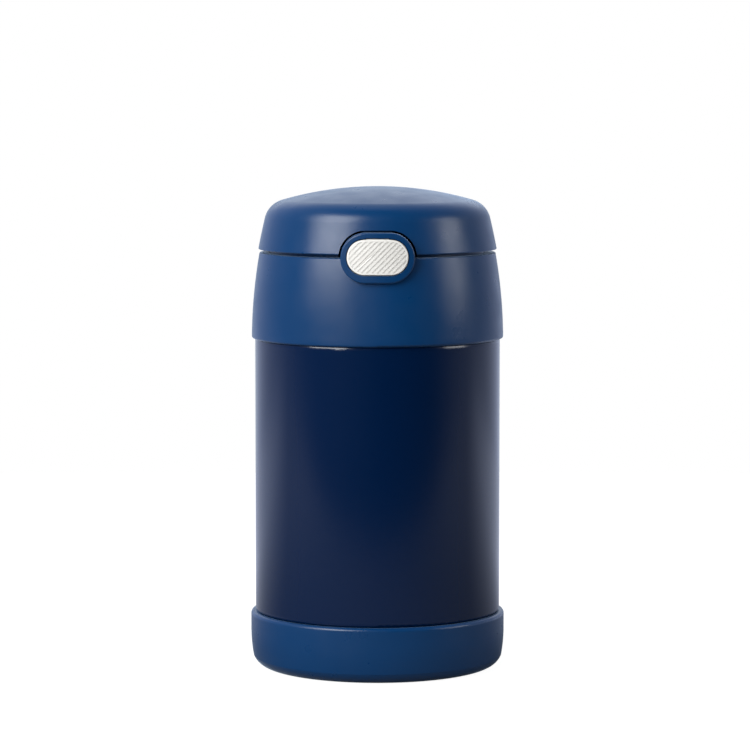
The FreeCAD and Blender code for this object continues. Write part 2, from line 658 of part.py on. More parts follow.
def latch_space():
    """Everything that the button, the slider and the hook need inside the collar."""
    deck_z = COLLAR_TOP_Z - DECK
    hole_width = BUTTON_WIDTH + 2 * BUTTON_CLEARANCE
    hole_height = BUTTON_HEIGHT + 2 * BUTTON_CLEARANCE
    pocket_back = BEZEL_BACK_Y - BEZEL_BACK_WALL
    outside_y = -BEZEL_FACE_RADIUS - FAR_PAST
    hole = stadium(hole_width, hole_height, BUTTON_Z, outside_y, pocket_back)
    tab_x = BUTTON_TAB_WIDTH / 2 + BUTTON_CLEARANCE
    tab_top = BUTTON_Z + BUTTON_HEIGHT / 2 + BUTTON_TAB_HEIGHT + BUTTON_CLEARANCE
    tab_room = box(-tab_x, tab_x, outside_y, pocket_back, BUTTON_Z, tab_top)
    channel_front = SLIDER_FRONT_Y - SLIDER_CLEARANCE
    channel = box(
        -HOUSING_INSIDE_X, HOUSING_INSIDE_X, channel_front, HOUSING_INSIDE_Y, PLATE_TOP_Z, deck_z
    )
    slot_x = HOOK_WIDTH / 2 + SLOT_CLEARANCE
    slot = box(
        -slot_x,
        slot_x,
        HOOK_FRONT_Y - SLOT_CLEARANCE,
        NOSE_TIP_Y + SLOT_CLEARANCE,
        deck_z - PAST,
        UPSTAND_TOP_Z + PAST,
    )
    gate_x = BEZEL_WIDTH / 2 + LID_NOTCH_CLEARANCE
    gate = box(
        -gate_x, gate_x, BEZEL_BACK_Y, -UPSTAND_INSIDE / 2, COLLAR_TOP_Z, UPSTAND_TOP_Z + PAST
    )
    return joined(hole, tab_room, channel, slot, gate)


def hinge_ears():
    """Two lugs on the collar that hold the hinge pin."""
    outside_y = HINGE_Y + BARREL_RADIUS
    wall_y = HINGE_Y - BARREL_RADIUS - EAR_BITE
    foot_z = HINGE_Z - EAR_DROP
    lugs = []
    for side in (-1, 1):
        x0, x1 = sorted((side * EAR_INNER_X, side * EAR_OUTER_X))
        web = prism_along_x(
            [
                (outside_y, HINGE_Z),
                (COLLAR_TOP_RADIUS, foot_z),
                (wall_y, foot_z),
                (wall_y, COLLAR_TOP_Z - EDGE_ROUND),
                (HINGE_Y, HINGE_Z),
            ],
            x0,
            x1,
        )
        barrel = bar_along_x(BARREL_RADIUS, x0, x1, HINGE_Y, HINGE_Z)
        lugs.append(barrel.fuse(web))
    return lugs


def hinge_space_in_collar():
    """Room for the lid's knuckles, the spring's leg and the pin."""
    reach = KNUCKLE_OUTER_X + HINGE_SIDE_CLEARANCE
    swing = bar_along_x(BARREL_RADIUS + HINGE_ROUND_CLEARANCE, -reach, reach, HINGE_Y, HINGE_Z)
    bore = bar_along_x(PIN_RADIUS, -EAR_OUTER_X - PAST, EAR_OUTER_X + PAST, HINGE_Y, HINGE_Z)
    leg_room = box(
        -KNUCKLE_INNER_X,
        KNUCKLE_INNER_X,
        HINGE_Y - TORSION_LEG - TORSION_WIRE,
        HINGE_Y,
        HINGE_Z - LEG_ROOM_HALF,
        HINGE_Z,
    )
    return joined(swing, bore, leg_room)


def hinge_pin():
    """Steel pin, pressed into the collar's ears. The lid turns on it."""
    reach = EAR_OUTER_X - PIN_END_INSET
    return bar_along_x(PIN_RADIUS, -reach, reach, HINGE_Y, HINGE_Z)


def spoon_tray():
    """Round tray on the stopper's plate, cut away for the latch housing, with a rest for the spoon's stem."""
    top = COLLAR_TOP_Z - TRAY_TOP_BELOW_COLLAR
    dish = disc(TRAY_RADIUS, PLATE_TOP_Z, top).cut(disc(TRAY_INSIDE, TRAY_FLOOR_Z, top + PAST))
    dish = round_rims(dish, TRAY_ROUND, [(TRAY_INSIDE, TRAY_FLOOR_Z)])
    keep_out_x = HOUSING_X + TRAY_CLEARANCE
    keep_out_y = HOUSING_BACK_Y + TRAY_CLEARANCE
    wall = TRAY_WALL
    surround = box(
        -keep_out_x - wall, keep_out_x + wall, -TRAY_RADIUS, keep_out_y + wall, PLATE_TOP_Z, top
    )
    surround = surround.common(disc(TRAY_RADIUS, PLATE_TOP_Z, top))
    keep_out = box(
        -keep_out_x, keep_out_x, -TRAY_RADIUS - PAST, keep_out_y, PLATE_TOP_Z - PAST, top + PAST
    )
    stem_bottom = SPOON_RIM_Z - STEM_THICKNESS
    rest_x = SPOON_PIVOT_X - SPOON_EYE_RADIUS - REST_WIDTH
    rest = box(
        rest_x - REST_WIDTH / 2,
        rest_x + REST_WIDTH / 2,
        -STEM_WIDTH / 2 - REST_OVERHANG,
        STEM_WIDTH / 2 + REST_OVERHANG,
        PLATE_TOP_Z,
        stem_bottom,
    )
    return joined(dish, surround, rest).cut(keep_out).removeSplitter()


def lid_spring():
    """Torsion spring on the hinge pin. One leg presses on the collar and the other lifts the lid."""
    length = TORSION_PITCH * TORSION_TURNS
    winding = coil(
        "lid_spring", TORSION_RADIUS, TORSION_WIRE, TORSION_TURNS, TORSION_PITCH, TORSION_LEG
    )
    winding.rotate(CENTRE, V(0, 1, 0), 90)
    winding.translate(V(-length / 2, HINGE_Y, HINGE_Z))
    return winding


# Button and latch

def button():
    """Oval push button with slanting ribs and a key tab on its upper edge."""
    y_back = -BUTTON_BACK_RADIUS
    y_front = -BUTTON_FACE_RADIUS - FAR_PAST
    blank = stadium(BUTTON_WIDTH, BUTTON_HEIGHT, BUTTON_Z, y_front, y_back)
    tab = box(
        -BUTTON_TAB_WIDTH / 2,
        BUTTON_TAB_WIDTH / 2,
        y_front,
        y_back,
        BUTTON_Z,
        BUTTON_Z + BUTTON_HEIGHT / 2 + BUTTON_TAB_HEIGHT,
    )
    low = BUTTON_Z - BUTTON_HEIGHT
    high = BUTTON_Z + BUTTON_HEIGHT
    blank = blank.common(disc(BUTTON_FACE_RADIUS, low, high))
    rim = [edge for edge in blank.Edges if edge.BoundBox.YMax < y_back - BUTTON_THICKNESS / 4]
    blank = blank.makeFillet(BUTTON_EDGE_ROUND, rim)
    tab = tab.common(disc(BUTTON_FACE_RADIUS - BUTTON_EDGE_ROUND, low, high))
    blank = joined(blank, tab)
    stem = box(
        -SLIDER_WIDTH / 2,
        SLIDER_WIDTH / 2,
        y_back,
        SLIDER_FRONT_Y,
        BUTTON_Z - BUTTON_HEIGHT / 2 + BUTTON_EDGE_ROUND,
        SLIDER_TOP_Z,
    )
    return joined(blank, stem).cut(rib_grooves())


def rib_grooves():
    """The slanting grooves of the button's face, inside a plain margin."""
    width = BUTTON_WIDTH - 2 * RIB_MARGIN
    height = BUTTON_HEIGHT - 2 * RIB_MARGIN
    y_front = -BUTTON_FACE_RADIUS - PAST
    field = stadium(width, height, BUTTON_Z, y_front, -BUTTON_BACK_RADIUS)
    field = field.cut(disc(BUTTON_FACE_RADIUS - RIB_GROOVE_DEPTH, BUTTON_Z - height, BUTTON_Z + height))
    reach = (width - height) / 2 * math.sin(math.radians(RIB_ANGLE)) + height / 2
    count = int(reach / RIB_PITCH)
    strips = []
    for n in range(-count, count + 1):
        strip = box(
            -width,
            width,
            y_front,
            -BUTTON_BACK_RADIUS,
            n * RIB_PITCH - RIB_GROOVE_WIDTH / 2,
            n * RIB_PITCH + RIB_GROOVE_WIDTH / 2,
        )
        strip.rotate(CENTRE, V(0, 1, 0), -RIB_ANGLE)
        strip.translate(V(0, 0, BUTTON_Z))
        strips.append(field.common(strip))
    return strips


def latch_slider():
    """Frame behind the button. The lid's hook hangs in its window and catches under its back edge."""
    half = SLIDER_WIDTH / 2
    frame = box(-half, half, SLIDER_FRONT_Y, SLIDER_BACK_Y, SLIDER_BOTTOM_Z, SLIDER_TOP_Z)
    inside = half - SLIDER_ARM
    front = SLIDER_FRONT_Y + SLIDER_PLATE
    back = SLIDER_BACK_Y - SLIDER_WALL
    low = SLIDER_BOTTOM_Z - PAST
    window_top = box(-inside, inside, front, CATCH_Y, low, SLIDER_TOP_Z + PAST)
    window_low = box(-inside, inside, front, back, low, CATCH_BOTTOM_Z)
    return frame.cut(window_top.fuse(window_low)).removeSplitter()


def latch_spring():
    """Compression spring that pushes the slider and the button outwards."""
    pitch = (SPRING_LENGTH - SPRING_WIRE) / SPRING_TURNS
    spring = coil("latch_spring", SPRING_RADIUS, SPRING_WIRE, SPRING_TURNS, pitch)
    spring.rotate(CENTRE, V(1, 0, 0), -90)
    z = (SLIDER_BOTTOM_Z + SLIDER_TOP_Z) / 2
    spring.translate(V(0, SLIDER_BACK_Y + SPRING_WIRE / 2, z))
    return spring


# Lid

def circle_through(a, b, c):
    """Centre and radius of the circle through three points of the XZ plane."""
    circle = Part.Arc(a, b, c).toShape().Curve
    return circle.Center, circle.Radius


def lid_form(inset, drop):
    """The lid's outer form, taken in by inset at the side and lowered by drop at the top."""
    low_r = LID_BOTTOM_RADIUS - inset
    high_r = LID_SKIRT_TOP_RADIUS - inset
    mid_r = (low_r + high_r) / 2 + LID_SKIRT_BELLY
    bottom = LID_BOTTOM_Z
    skirt_top = bottom + LID_SKIRT_HEIGHT
    skirt_c, skirt_r = circle_through(
        V(low_r, 0, bottom), V(mid_r, 0, (bottom + skirt_top) / 2), V(high_r, 0, skirt_top)
    )
    dome_r = LID_DOME_RADIUS
    top = LID_TOP_Z - inset - drop
    dome_c = V(0, 0, top - dome_r)
    # The shoulder's round touches both arcs from inside, so its centre lies on two circles.
    small = LID_SHOULDER_ROUND - inset
    gap = skirt_c - dome_c
    along = (gap.Length**2 + (dome_r - small) ** 2 - (skirt_r - small) ** 2) / (2 * gap.Length)
    across = math.sqrt((dome_r - small) ** 2 - along**2)
    toward = gap / gap.Length
    sides = (V(toward.z, 0, -toward.x), V(-toward.z, 0, toward.x))
    centres = [dome_c + toward * along + side * across for side in sides]
    centre = max(centres, key=lambda point: point.x)
    on_skirt = centre + (centre - skirt_c).normalize() * small
    on_dome = centre + (centre - dome_c).normalize() * small
    on_round = centre + ((on_skirt + on_dome) * 0.5 - centre).normalize() * small
    half = V(on_dome.x / 2, 0, dome_c.z + math.sqrt(dome_r**2 - (on_dome.x / 2) ** 2))
    skirt_mid = skirt_c + ((on_skirt + V(low_r, 0, bottom)) * 0.5 - skirt_c).normalize() * skirt_r
    return turned(
        (0, bottom),
        (low_r, bottom),
        (skirt_mid.x, skirt_mid.z, on_skirt.x, on_skirt.z),
        (on_round.x, on_round.z, on_dome.x, on_dome.z),
        (half.x, half.z, 0, top),
    )


def lid_notch():
    """The opening in the lid's front for the button's frame."""
    width = BEZEL_WIDTH + 2 * LID_NOTCH_CLEARANCE
    height = BEZEL_HEIGHT + 2 * LID_NOTCH_CLEARANCE
    return stadium(width, height, BEZEL_Z, -LID_BOTTOM_RADIUS - FAR_PAST, BEZEL_BACK_Y / 2)


def lid_shell():
    """Domed outer lid with two hinge knuckles."""
    shell = lid_form(0, 0)
    shell = round_rims(shell, EDGE_ROUND, [(LID_BOTTOM_RADIUS, LID_BOTTOM_Z)])
    core = lid_form(LID_WALL, 0)
    shell = shell.cut(core).cut(lid_notch()).cut(ear_space_in_lid()).cut(leg_slot_in_lid())
    solid = joined(shell, *lid_knuckles(core))
    return solid.cut(pin_space_in_lid()).removeSplitter()


def ear_space_in_lid():
    """Room for the collar's ears and barrel ends in the lid's rear edge."""
    radius = BARREL_RADIUS + HINGE_ROUND_CLEARANCE
    reach = EAR_OUTER_X + HINGE_SIDE_CLEARANCE
    return bar_along_x(radius, -reach, reach, HINGE_Y, HINGE_Z)


def lid_knuckles(core):
    """Two barrels on the lid with a web up its side and a lug that stops the swing."""
    outside_y = HINGE_Y + BARREL_RADIUS
    web_top_z = LID_BOTTOM_Z + KNUCKLE_RISE
    inner_y = LID_SKIRT_TOP_RADIUS - LID_WALL
    found = []
    for side in (-1, 1):
        x0, x1 = sorted((side * KNUCKLE_INNER_X, side * KNUCKLE_OUTER_X))
        web = prism_along_x(
            [
                (HINGE_Y, HINGE_Z),
                (outside_y, HINGE_Z),
                (LID_SKIRT_TOP_RADIUS, web_top_z),
                (inner_y, web_top_z),
                (inner_y, LID_BOTTOM_Z),
                (HINGE_Y - LID_WALL, LID_BOTTOM_Z),
            ],
            x0,
            x1,
        )
        barrel = bar_along_x(BARREL_RADIUS, x0, x1, HINGE_Y, HINGE_Z)
        lug = box(
            x0, x1, HINGE_Y, HINGE_Y + BARREL_RADIUS + STOP_LUG_REACH, HINGE_Z, HINGE_Z + STOP_LUG_WIDTH
        )
        lug.rotate(V(0, HINGE_Y, HINGE_Z), V(1, 0, 0), STOP_LUG_ANGLE)
        found.append(joined(barrel, web.cut(core), lug))
    return found


def leg_slot_in_lid():
    """Slot for the spring's upper leg, which presses on the slot's top when the lid is released."""
    return box(
        -KNUCKLE_INNER_X,
        KNUCKLE_INNER_X,
        HINGE_Y - TORSION_LEG - TORSION_WIRE,
        LID_BOTTOM_RADIUS + PAST,
        LID_BOTTOM_Z - PAST,
        HINGE_Z + LEG_ROOM_HALF,
    )


def pin_space_in_lid():
    """The running bore for the pin through both knuckles."""
    reach = EAR_OUTER_X + PAST
    return bar_along_x(PIN_RADIUS + PIN_CLEARANCE, -reach, reach, HINGE_Y, HINGE_Z)


def lid_liner():
    """Inner skin of the lid with the latch hook hanging from its front."""
    skin = lid_form(LID_WALL, LID_LINER_DROP)
    core = lid_form(LID_WALL + LID_LINER_WALL, LID_LINER_DROP)
    half = HOOK_WIDTH / 2
    strap = box(-half, half, HOOK_FRONT_Y, HOOK_BACK_Y, HOOK_BOTTOM_Z, LID_TOP_Z)
    nose = prism_along_x(
        [
            (HOOK_BACK_Y, HOOK_BOTTOM_Z),
            (NOSE_TIP_Y, HOOK_BOTTOM_Z + HOOK_NOSE_HEIGHT - HOOK_NOSE_FLAT),
            (NOSE_TIP_Y, HOOK_BOTTOM_Z + HOOK_NOSE_HEIGHT),
            (HOOK_BACK_Y, HOOK_BOTTOM_Z + HOOK_NOSE_HEIGHT),
        ],
        -half,
        half,
    )
    above = disc(LID_BOTTOM_RADIUS, LID_BOTTOM_Z, LID_TOP_Z).cut(skin)
    shell = skin.cut(core).cut(lid_notch()).cut(ear_space_in_lid())
    return joined(shell.cut(leg_slot_in_lid()), strap.cut(above), nose)


# Folding spoon

def bowl_form(inset):
    """Lower half of the bowl's ellipsoid, taken in by inset, in its place under the spoon's rim."""
    ball = Part.makeSphere(1.0, CENTRE, UP, -90, 0, 360)
    stretch = FreeCAD.Matrix()
    stretch.scale(BOWL_LENGTH / 2 - inset, BOWL_WIDTH / 2 - inset, BOWL_DEPTH - inset)
    form = ball.transformGeometry(stretch)
    form.translate(V(BOWL_CENTRE_X, 0, SPOON_RIM_Z))
    return form


def bar_on_pivot(radius, y0, y1):
    """A round bar along the spoon's pivot."""
    return Part.makeCylinder(radius, y1 - y0, V(SPOON_PIVOT_X, y0, SPOON_PIVOT_Z), V(0, 1, 0))


def spoon_bowl():
    """Steel bowl and stem with the pivot's eye."""
    hollow = bowl_form(BOWL_SHEET)
    cup = bowl_form(0).cut(hollow)
    half = STEM_WIDTH / 2
    stem_start = BOWL_CENTRE_X + BOWL_LENGTH / 2 - STEM_LAP
    stem = box(stem_start, SPOON_PIVOT_X, -half, half, SPOON_RIM_Z - STEM_THICKNESS, SPOON_RIM_Z)
    eye = bar_on_pivot(SPOON_EYE_RADIUS, -half, half)
    bore = bar_on_pivot(SPOON_PIN_RADIUS + PIN_CLEARANCE, -half - PAST, half + PAST)
    return joined(cup, stem.cut(hollow), eye).cut(bore)


def spoon_handle():
    """Steel handle, folded over the bowl, with an ear on each side of the pivot."""
    low = SPOON_PIVOT_Z + SPOON_EYE_RADIUS + SPOON_SIDE_CLEARANCE
    high = low + HANDLE_THICKNESS
    half = HANDLE_WIDTH / 2
    tip_x = HANDLE_TIP_X + half
    root_x = SPOON_PIVOT_X - HANDLE_ROOT_INSET
    blade = box(tip_x, root_x, -half, half, low, high)
    ends = [Part.makeCylinder(half, HANDLE_THICKNESS, V(x, 0, low), UP) for x in (tip_x, root_x)]
    parts = [joined(blade, *ends)]
    for side in (-1, 1):
        y0, y1 = sorted((side * SPOON_EAR_INNER_Y, side * SPOON_EAR_OUTER_Y))
        ear = bar_on_pivot(SPOON_EYE_RADIUS, y0, y1)
        cheek = box(
            SPOON_PIVOT_X - 2 * SPOON_EYE_RADIUS,
            SPOON_PIVOT_X + SPOON_EYE_RADIUS,
            y0,
            y1,
            SPOON_PIVOT_Z,
            high,
        )
        bore = bar_on_pivot(SPOON_PIN_RADIUS + PIN_CLEARANCE, y0 - PAST, y1 + PAST)
        parts.append(ear.fuse(cheek).cut(bore))
    return joined(*parts)


def spoon_rivet():
    """Pivot pin with a flat head on each side."""
    reach = SPOON_EAR_OUTER_Y
    head_radius = SPOON_PIN_RADIUS + SPOON_PIN_LIP
    shank = bar_on_pivot(SPOON_PIN_RADIUS, -reach, reach)
    heads = [bar_on_pivot(head_radius, y, y + SPOON_PIN_HEAD) for y in (-reach - SPOON_PIN_HEAD, reach)]
    return joined(shank, *heads)


PIECES = {
    "outer_shell": outer_shell,
    "inner_vessel": inner_vessel,
    "outer_bottom": outer_bottom,
    "getter": getter,
    "vacuum_seal_bead": vacuum_seal_bead,
    "base_cap": base_cap,
    "stopper_seal": stopper_seal,
    "stopper": stopper,
    "stopper_foam": stopper_foam,
    "collar": collar,
    "spoon_tray": spoon_tray,
    "hinge_pin": hinge_pin,
    "lid_spring": lid_spring,
    "button": button,
    "latch_slider": latch_slider,
    "latch_spring": latch_spring,
    "lid_shell": lid_shell,
    "lid_liner": lid_liner,
    "spoon_bowl": spoon_bowl,
    "spoon_handle": spoon_handle,
    "spoon_rivet": spoon_rivet,
}


def main():
    os.makedirs("parts", exist_ok=True)
    for name, make in PIECES.items():
        piece = make()
        solids = len(piece.Solids)
        print(f"{name}: {solids} solid, {piece.Volume:.1f} mm3, valid {piece.isValid()}")
        piece.exportStep(f"parts/{name}.step")


main()
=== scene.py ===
import json
import math

import bpy
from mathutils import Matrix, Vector


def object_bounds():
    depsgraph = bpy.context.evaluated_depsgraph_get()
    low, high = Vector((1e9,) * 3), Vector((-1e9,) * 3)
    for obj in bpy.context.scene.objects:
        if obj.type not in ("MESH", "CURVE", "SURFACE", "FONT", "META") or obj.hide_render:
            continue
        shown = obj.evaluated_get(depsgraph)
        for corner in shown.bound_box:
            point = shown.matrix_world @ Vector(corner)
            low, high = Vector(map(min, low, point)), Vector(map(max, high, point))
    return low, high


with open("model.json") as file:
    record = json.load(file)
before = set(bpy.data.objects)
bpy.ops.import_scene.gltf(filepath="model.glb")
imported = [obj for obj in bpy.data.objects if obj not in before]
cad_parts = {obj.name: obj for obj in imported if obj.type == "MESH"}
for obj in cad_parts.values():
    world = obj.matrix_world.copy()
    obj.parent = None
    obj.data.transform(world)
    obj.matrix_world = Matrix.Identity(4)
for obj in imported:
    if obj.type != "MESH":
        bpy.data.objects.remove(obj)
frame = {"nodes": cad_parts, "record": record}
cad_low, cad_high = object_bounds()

# An insulated food jar: glossy navy steel between fine matte blue plastic, with an off-white button.
# Metres, in the same frame as the solids. The button faces -Y, towards the camera.

# Camera, worked out from the photograph's perspective
CAMERA_PLACE = Vector((-0.00093, -1.25535, 0.22209))
CAMERA_PITCH = math.radians(5.197)      # how far it looks down
SENSOR_MM = 36.0
LENS_MM = 163.36

# Floor
FLOOR_WIDE = 1.1            # half the floor's width
FLOOR_DEEP = 0.5            # half its depth
FLOOR_BACK = 0.10           # how far its centre lies behind the jar
FLOOR_BELOW = 0.0002        # how far it lies under the jar's foot
FLOOR_CORNERS = 96
FLOOR_GLOW = 0.95           # its own light, as the camera sees it
FLOOR_ALBEDO = 0.2          # how much of the lamps' light it returns
# Its light that gloss alone sees: the distance where it starts, where it is full, and its level there
SIDE_SHINE = (0.2, 0.55, 0.15)      # out to either side
BACK_SHINE = (0.0, 0.25, 0.55)      # back from the jar's axis

# Surroundings
AIM = Vector((0, 0, 0.09))  # what the lights face, at about half the jar's height
BOX_DISTANCE = 1.5          # how far the lights stand from there, but for the fill in front
FILL_DISTANCE = 1.6
ROOM_LEVEL = 0.22           # even light from all round, on matte surfaces
# What gloss reflects: degrees round from the camera, towards +X, and the level there, and then its tint
TENT = (
    (-180, 0.85),
    (-147, 0.72),
    (-121, 0.5),
    (-91, 0.19),
    (-66, 0.04),
    (-46, 0.02),
    (-26, 0.0),
    (45, 0.0),
    (61, 0.03),
    (85, 0.18),
    (113, 0.36),
    (138, 0.6),
    (179, 0.85),
)
TENT_TINT = (0.92, 1.04, 1.42)

# Colours, linear
WHITE = (1, 1, 1, 1)
NAVY = (0.0001, 0.0088, 0.041, 1)
BLUE = (0.0002, 0.033, 0.116, 1)
BLUE_INNER = (0.006, 0.030, 0.085, 1)
BLUE_SHEEN = (0.5, 0.7, 1, 1)
PALE = (0.78, 0.77, 0.74, 1)
STEEL = (0.78, 0.78, 0.77, 1)
WIRE = (0.62, 0.62, 0.64, 1)
SILICONE = (0.62, 0.62, 0.60, 1)
FOAM = (0.86, 0.83, 0.74, 1)
GETTER = (0.20, 0.20, 0.21, 1)

# Noise mostly keeps to the middle of its range from 0 to 1, between these two
NOISE_LOW = 0.3
NOISE_HIGH = 0.7


class ShaderTree:
    """A node tree, built with short calls. Inputs are values or other nodes' sockets, by name or number."""

    def __init__(self, owner):
        owner.use_nodes = True
        self.nodes = owner.node_tree.nodes
        self.links = owner.node_tree.links
        self.nodes.clear()

    def new(self, kind, inputs=None, **settings):
        node = self.nodes.new(kind)
        for key, value in settings.items():
            setattr(node, key, value)
        for key, value in (inputs or {}).items():
            if isinstance(value, bpy.types.NodeSocket):
                self.links.new(value, node.inputs[key])
            else:
                node.inputs[key].default_value = value
        return node

    def math(self, operation, *values):
        return self.new("ShaderNodeMath", dict(enumerate(values)), operation=operation).outputs[0]

    def weighed(self, first, second, share):
        """The sum of two values, where the first has this share and the second has the rest."""
        return self.math("MULTIPLY_ADD", first, share, self.math("MULTIPLY", second, 1 - share))

    def noise(self, place, waves, detail, roughness=0.5):
        """Noise with this many waves to the metre."""
        inputs = {"Vector": place, "Scale": waves, "Detail": detail, "Roughness": roughness}
        return self.new("ShaderNodeTexNoise", inputs).outputs["Fac"]

    def ramp(self, value, low, high, to_low, to_high):
        """Carries the range from low to high over to the range from to_low to to_high."""
        inputs = {"Value": value, "From Min": low, "From Max": high, "To Min": to_low, "To Max": to_high}
        return self.new("ShaderNodeMapRange", inputs).outputs["Result"]

    def spread(self, noise, low, high):
        """Spreads noise over the range from low to high."""
        return self.ramp(noise, NOISE_LOW, NOISE_HIGH, low, high)

    def varied(self, value, noise, down, up):
        """A value that noise takes down and up by these amounts."""
        return self.spread(noise, value - down, value + up)

    def apart(self, vector):
        """The sockets of a vector's x, y and z."""
        return self.new("ShaderNodeSeparateXYZ", {"Vector": vector}).outputs

    def mixed(self, first, second, factor, **settings):
        """A mix of two colours."""
        inputs = {"Factor": factor, "A": first, "B": second}
        return self.new("ShaderNodeMix", inputs, data_type="RGBA", **settings).outputs["Result"]

    def tinted(self, base, amount, factor):
        """A colour that is darker or lighter by up to this amount, as the factor goes from 0 to 1."""
        dark = tuple(channel * (1 - amount) for channel in base[:3]) + (1,)
        light = tuple(min(1.0, channel * (1 + amount)) for channel in base[:3]) + (1,)
        return self.mixed(dark, light, factor)

    def rays(self):
        """Two factors: 1 for what the camera sees, also through glass, and 1 for what gloss sees."""
        kinds = self.new("ShaderNodeLightPath").outputs
        seen = self.math("MAXIMUM", kinds["Is Camera Ray"], kinds["Is Transmission Ray"])
        return seen, kinds["Is Glossy Ray"]

    def finish(self, colour, roughness, height, strength, depth):
        """A surface's inputs, where height is the pattern of the bump and depth its reach in metres."""
        bump = self.new("ShaderNodeBump", {"Height": height, "Strength": strength, "Distance": depth})
        return {"Base Color": colour, "Roughness": roughness, "Normal": bump.outputs["Normal"]}


def moulded(base, roughness, grain_waves=2600.0, grain_strength=0.25, painted_shade_reach=0.0):
    """A fine-grained surface with slow drifts of tone and gloss, and painted shade that darkens its recesses if
    it gets a reach.
    """
    def surface(tree, place):
        drift = tree.noise(place, waves=35.0, detail=2.0)
        wear = tree.noise(place, waves=120.0, detail=4.0)
        colour = tree.tinted(base, amount=0.06, factor=drift)
        if painted_shade_reach:
            # Painted shade: ambient occlusion darkens the colour in recesses, where shade falls
            occlusion = tree.new("ShaderNodeAmbientOcclusion", {"Distance": painted_shade_reach}, samples=16)
            shade = tree.ramp(occlusion.outputs["AO"], low=0.55, high=0.95, to_low=0.78, to_high=1.0)
            colour = tree.mixed(colour, shade, factor=1.0, blend_type="MULTIPLY")
        return tree.finish(
            colour=colour,
            roughness=tree.varied(roughness, wear, down=0.04, up=0.05),
            height=tree.noise(place, grain_waves, detail=4.0, roughness=0.6),
            strength=grain_strength,
            depth=0.00006,
        )
    return surface


def gloss_paint(base):
    """Smooth baked paint with a trace of orange peel and a fine flake."""
    def surface(tree, place):
        drift = tree.noise(place, waves=18.0, detail=2.0)
        flake = tree.noise(place, waves=9000.0, detail=2.0)
        return tree.finish(
            colour=tree.tinted(base, amount=0.10, factor=tree.weighed(flake, drift, share=0.35)),
            roughness=tree.spread(drift, low=0.15, high=0.19),
            height=tree.noise(place, waves=420.0, detail=2.0),
            strength=0.05,
            depth=0.00004,
        )
    return surface


def spun_steel(base, roughness):
    """Steel with fine turning lines round Z, one after another up a wall and outwards on a flat end."""
    flat_pace = 0.8         # how fast they follow one another on a flat end, against 1 up a wall
    along_pace = 0.01       # how fast they change along their length

    def surface(tree, place):
        x, y, z = tree.apart(place)
        squares = tree.math("ADD", tree.math("MULTIPLY", x, x), tree.math("MULTIPLY", y, y))
        radius = tree.math("SQRT", squares)
        across = tree.math("ADD", z, tree.math("MULTIPLY", radius, flat_pace))
        along = tree.math("MULTIPLY", x, along_pace)
        line_place = tree.new("ShaderNodeCombineXYZ", {"X": across, "Y": along}).outputs[0]
        lines = tree.noise(line_place, waves=5200.0, detail=3.0, roughness=0.7)
        drift = tree.noise(place, waves=60.0, detail=3.0)
        return tree.finish(
            colour=tree.tinted(base, amount=0.08, factor=tree.weighed(lines, drift, share=0.5)),
            roughness=tree.varied(roughness, lines, down=0.06, up=0.08),
            height=lines,
            strength=0.18,
            depth=0.00003,
        )
    return surface


def drawn_wire(base):
    """Bright wire with faint drawing marks."""
    def surface(tree, place):
        marks = tree.noise(place, waves=3000.0, detail=3.0)
        return tree.finish(
            colour=tree.tinted(base, amount=0.1, factor=marks),
            roughness=tree.spread(marks, low=0.2, high=0.34),
            height=marks,
            strength=0.08,
            depth=0.00002,
        )
    return surface


def material(name, surface, **constants):
    """A principled material with this surface, and with constants on its other sockets."""
    made = bpy.data.materials.new(name)
    tree = ShaderTree(made)
    place = tree.new("ShaderNodeTexCoord").outputs["Object"]
    inputs = surface(tree, place)
    for key, value in constants.items():
        inputs[key.replace("_", " ")] = value
    shader = tree.new("ShaderNodeBsdfPrincipled", inputs)
    tree.new("ShaderNodeOutputMaterial", {"Surface": shader.outputs["BSDF"]})
    return made


# One material for each slot of the record
MATERIALS = {
    "plastic_blue": material(
        "fine matte blue",
        moulded(BLUE, roughness=0.31),
        Specular_IOR_Level=0.42,
        Sheen_Weight=0.4,
        Sheen_Roughness=0.25,
        Sheen_Tint=BLUE_SHEEN,
    ),
    "plastic_inner": material(
        "satin inner blue",
        moulded(BLUE_INNER, roughness=0.38, grain_waves=1800.0, grain_strength=0.12),
        Specular_IOR_Level=0.45,
    ),
    # Painted shade darkens this material's recesses, such as the button's grooves
    "plastic_pale": material(
        "satin off-white",
        moulded(PALE, roughness=0.42, grain_waves=2200.0, grain_strength=0.12, painted_shade_reach=0.0006),
        Specular_IOR_Level=0.4,
    ),
    "paint_navy": material("gloss navy paint", gloss_paint(NAVY), Specular_IOR_Level=0.5),
    "steel_bright": material("spun steel", spun_steel(STEEL, roughness=0.26), Metallic=1.0),
    "steel_spring": material("drawn wire", drawn_wire(WIRE), Metallic=1.0),
    "silicone": material(
        "soft silicone",
        moulded(SILICONE, roughness=0.5, grain_waves=900.0, grain_strength=0.08),
        Specular_IOR_Level=0.35,
        Subsurface_Weight=0.1,
    ),
    "foam": material(
        "foam",
        moulded(FOAM, roughness=0.85, grain_waves=1500.0, grain_strength=0.9),
        Specular_IOR_Level=0.2,
    ),
    "getter_alloy": material(
        "sintered alloy",
        moulded(GETTER, roughness=0.7, grain_waves=1500.0, grain_strength=0.5),
        Metallic=0.8,
    ),
}


def dress_nodes():
    """Gives each CAD node the material of its slot."""
    for part in frame["record"]["subparts"]:
        node = frame["nodes"][part["node"]]
        node.data.materials.clear()
        node.data.materials.append(MATERIALS[part["material_slot"]])


def put_in_scene(name, data):
    """A new object with this data, in the scene."""
    made = bpy.data.objects.new(name, data)
    bpy.context.scene.collection.objects.link(made)
    return made


def make_camera():
    """A camera at the photograph's place and angle."""
    data = bpy.data.cameras.new("camera")
    data.sensor_width = SENSOR_MM
    data.lens = LENS_MM
    camera = put_in_scene("camera", data)
    camera.location = CAMERA_PLACE
    camera.rotation_euler = (math.pi / 2 - CAMERA_PITCH, 0, 0)
    bpy.context.scene.camera = camera


